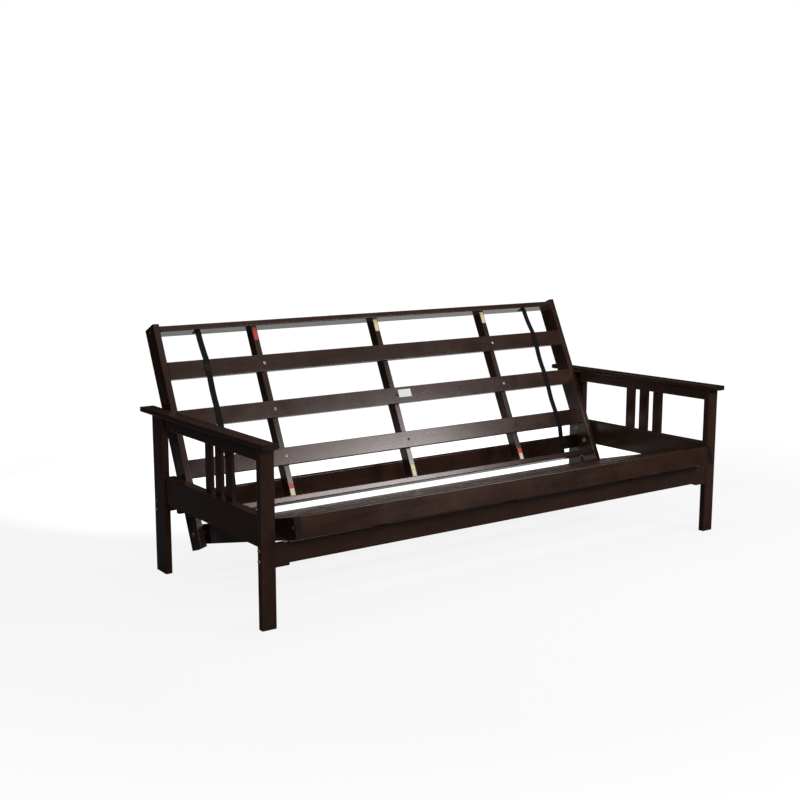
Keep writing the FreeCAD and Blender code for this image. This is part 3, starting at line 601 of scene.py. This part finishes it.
# the clips: a rounded plate with one screw head
HEAD_PROUD = 0.0008
CLIP_ROUND = 0.004
CLIP_HEAD = [(0.0009, 0.0006, True), (0.0019, 0.0005, True), (0.0021, 0.0, True),
             (0.0024, -0.0001, False), (0.0034, 0.0002, False), (0.0037, 0.0008, False),
             (0.0037, 0.0010, False)]
bm = bmesh.new()
for group in islands("strap_clips", back_inverse):
    low = Vector([min(p[k] for p in group) for k in range(3)])
    high = Vector([max(p[k] for p in group) for k in range(3)])
    plate(bm, low, high, CLIP_ROUND)
    head = Vector(((low.x + high.x) / 2, low.y - HEAD_PROUD, (low.z + high.z) / 2))
    lathe(bm, CLIP_HEAD, head, Vector((0, 1, 0)), cross_recess, 2)
bm.transform(back)
mesh = bpy.data.meshes.new("clip_plates")
bm.to_mesh(mesh)
bm.free()
piece("clip_plates", mesh, "back_deck", "black_steel", [black_steel, recess_shade], "strap_clips")


# ------------------------------------------------------------------ blank stickers
def paper_label(name, colour):
    s = Shader(name)
    fibre = s.noise(s.coords(), 90.0, 4.0)
    stain = s.noise(s.coords(), 12.0, 2.0)
    aged = tuple(0.72 * c for c in colour)
    tone = s.mix(s.ramp(stain, [(0.4, 0.0), (0.75, 0.35)]), colour, aged)
    s.set(Base_Color=s.mix(s.ramp(fibre, [(0.4, 0.0), (0.7, 0.25)]), tone,
                           tuple(0.85 * c for c in colour)),
          Roughness=0.5, Normal=s.bump(fibre, 0.00005, 0.4))
    return s.material


white_paper = paper_label("white_label", (0.80, 0.82, 0.82))
cream_paper = paper_label("cream_label", (0.72, 0.62, 0.36))
red_paper = paper_label("red_label", (0.52, 0.035, 0.025))


STICKER_THICK = 0.00025
STICKER_ROUND = 0.0012


def sticker(name, material, low_x, high_x, low_z, high_z, surface):
    """A thin sticker on a front face of the back deck, in the deck's axes."""
    bm = bmesh.new()
    plate(bm, Vector((low_x, -STICKER_THICK, low_z)), Vector((high_x, 0, high_z)), STICKER_ROUND)
    bm.transform(Matrix.Translation((0, surface, 0)))
    bm.transform(back)
    mesh = bpy.data.meshes.new(name)
    bm.to_mesh(mesh)
    bm.free()
    piece(name, mesh, "back_deck", None, [material])


sticker("blank_label", white_paper, 0.009, 0.071, 0.4015, 0.4335,
        local_box("back_slat_middle")[0].y)
for word, top, foot in (("left", red_paper, red_paper), ("middle", cream_paper, cream_paper),
                        ("right", cream_paper, red_paper)):
    low, high = local_box("back_support_" + word)
    left, right = low.x + 0.003, high.x - 0.003   # a bare edge on both sides
    sticker(word + "_top_tag", top, left, right, high.z - 0.052, high.z - 0.003, low.y)
    sticker(word + "_foot_tag", foot, left, right, low.z + 0.030, low.z + 0.050, low.y)
    sticker(word + "_heel_tag", cream_paper, left, right, low.z + 0.002, low.z + 0.029, low.y)


# ------------------------------------------------------------------ studio
FLOOR_WIDE = 60
DRAPE_SIDES, DRAPE_RADIUS, DRAPE_HIGH = 48, 7, 6.5
SKY = 0.46            # the white sky's strength, except as the camera sees it

bpy.ops.mesh.primitive_plane_add(size=FLOOR_WIDE, location=(0, 0, 0))
floor = bpy.context.object
floor.name = "floor"
paper = Shader("floor_paper")
fibre = paper.noise(paper.coords(), 30.0, 3.0)
paper.bsdf.inputs["Specular IOR Level"].default_value = 0.1


def distance(centre, spans):
    """How far a point of the floor lies from a centre, in units of an ellipse's half spans."""
    place = paper.add("ShaderNodeMapping")
    place.inputs["Location"].default_value = [-c / v for c, v in zip(centre, spans)]
    place.inputs["Scale"].default_value = [1 / v for v in spans]
    paper.wire(paper.add("ShaderNodeTexCoord").outputs["Object"], place.inputs["Vector"])
    size = paper.add("ShaderNodeVectorMath", operation="LENGTH")
    paper.wire(place.outputs["Vector"], size.inputs[0])
    return size.outputs["Value"]


# a sheet of lit paper lies behind the frame; the floor round it is dark, and the camera sees
# both as white, a little less so close to the frame
lit = paper.mix(fibre, (0.86, 0.86, 0.86), (0.90, 0.90, 0.90))
sheet = paper.math("MULTIPLY", distance((0.8, 1.5, 0), (1.8, 1.1, 1)), 0.5)
edge = paper.ramp(sheet, [(0.42, 0.0), (0.60, 1.0)])
paper.set(Roughness=0.9, Base_Color=paper.mix(edge, lit, (0.10, 0.10, 0.10)))
glow = paper.add("ShaderNodeEmission")
seen_by = paper.add("ShaderNodeLightPath")
ring = paper.math("MULTIPLY", distance((0, 0, 0), (3.0, 2.6, 1)), 0.5)
near = paper.ramp(ring, [(0.30, 0.86), (0.60, 1.0)])
# painted reflection: the sheet also glows for glossy rays only, so the boards' gloss shows it brighter than the
# lamps light it
painted_reflection = paper.math("MULTIPLY", seen_by.outputs["Is Glossy Ray"],
                      paper.ramp(sheet, [(0.42, 0.42), (0.60, 0.0)]))
white = paper.math("MULTIPLY", seen_by.outputs["Is Camera Ray"], near)
paper.wire(paper.math("ADD", white, painted_reflection), glow.inputs["Strength"])
total = paper.add("ShaderNodeAddShader")
paper.wire(paper.bsdf.outputs["BSDF"], total.inputs[0])
paper.wire(glow.outputs["Emission"], total.inputs[1])
paper.wire(total.outputs["Shader"], paper.tree.nodes["Material Output"].inputs["Surface"])
dress(floor, paper.material)
floor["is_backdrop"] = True

# dark drapes all round, unseen by the camera, leave the sides of the boards dark
bm = bmesh.new()
foot = [bm.verts.new((DRAPE_RADIUS * math.cos(a), DRAPE_RADIUS * math.sin(a), 0))
        for a in (math.radians(360 / DRAPE_SIDES * k) for k in range(DRAPE_SIDES))]
head = [bm.verts.new((v.co.x, v.co.y, DRAPE_HIGH)) for v in foot]
for k in range(DRAPE_SIDES):
    after = (k + 1) % DRAPE_SIDES
    bm.faces.new((foot[k], foot[after], head[after], head[k]))
mesh = bpy.data.meshes.new("drapes")
bm.to_mesh(mesh)
bm.free()
drapes = bpy.data.objects.new("drapes", mesh)
scene.collection.objects.link(drapes)
cloth = Shader("drape_cloth")
cloth.set(Base_Color=cloth.mix(cloth.noise(cloth.coords(), 4.0), (0.025, 0.025, 0.025),
                               (0.040, 0.040, 0.040)), Roughness=0.95)
dress(drapes, cloth.material)
drapes.visible_camera = False
drapes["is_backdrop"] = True

world = bpy.data.worlds.new("studio")
scene.world = world
world.use_nodes = True
tree = world.node_tree
sky = tree.nodes["Background"]
sky.inputs["Color"].default_value = (1, 1, 1, 1)
sky.inputs["Strength"].default_value = SKY
seen = tree.nodes.new("ShaderNodeBackground")
seen.inputs["Color"].default_value = (1, 1, 1, 1)
seen.inputs["Strength"].default_value = 1.0
path = tree.nodes.new("ShaderNodeLightPath")
blend = tree.nodes.new("ShaderNodeMixShader")
tree.links.new(path.outputs["Is Camera Ray"], blend.inputs["Fac"])
tree.links.new(sky.outputs["Background"], blend.inputs[1])
tree.links.new(seen.outputs["Background"], blend.inputs[2])
tree.links.new(blend.outputs["Shader"], tree.nodes["World Output"].inputs["Surface"])


def softbox(name, place, aim, wide, high, power):
    """A rectangular lamp, in metres and watts, looking at the point it is aimed at."""
    lamp = bpy.data.lights.new(name, "AREA")
    lamp.shape = "RECTANGLE"
    lamp.size = wide
    lamp.size_y = high
    lamp.energy = power
    obj = bpy.data.objects.new(name, lamp)
    scene.collection.objects.link(obj)
    obj.location = place
    obj.rotation_euler = (Vector(aim) - Vector(place)).to_track_quat("-Z", "Y").to_euler()


softbox("key", place=(2.25, -3.16, 2.14), aim=(-0.2, 0.2, 0.45), wide=1.6, high=0.9, power=74)
softbox("fill", place=(-2.2, -5.0, 2.6), aim=(-0.3, 0, 0.4), wide=2.6, high=1.8, power=122)
softbox("overhead", place=(0.1, -0.2, 3.4), aim=(0.1, 0, 0), wide=2.6, high=0.7, power=24)

# ------------------------------------------------------------------ camera
CAMERA_PLACE = (-2.6961, -3.3574, 1.2490)
YAW, PITCH, ROLL = 31.68, -9.06, -0.74   # degrees: from +Y towards +X, up, anticlockwise
SENSOR_WIDE, LENS = 36, 51.098           # mm
SHIFT_X, SHIFT_Y = 0.1228, 0.0036

camera = bpy.data.objects.new("camera", bpy.data.cameras.new("camera"))
scene.collection.objects.link(camera)
scene.camera = camera
yaw, pitch, roll = (math.radians(v) for v in (YAW, PITCH, ROLL))
ahead = Vector((math.sin(yaw) * math.cos(pitch), math.cos(yaw) * math.cos(pitch),
                math.sin(pitch)))
right = Vector((math.cos(yaw), -math.sin(yaw), 0))
up = right.cross(ahead)
right, up = (math.cos(roll) * right + math.sin(roll) * up,
             math.cos(roll) * up - math.sin(roll) * right)
turn = Matrix((right, up, -ahead)).transposed().to_4x4()
camera.matrix_world = Matrix.Translation(CAMERA_PLACE) @ turn
camera.data.sensor_width = SENSOR_WIDE
camera.data.lens = LENS
camera.data.shift_x = SHIFT_X
camera.data.shift_y = SHIFT_Y
camera.data.clip_end = 200

scene.view_settings.view_transform = "Standard"

low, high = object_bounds()
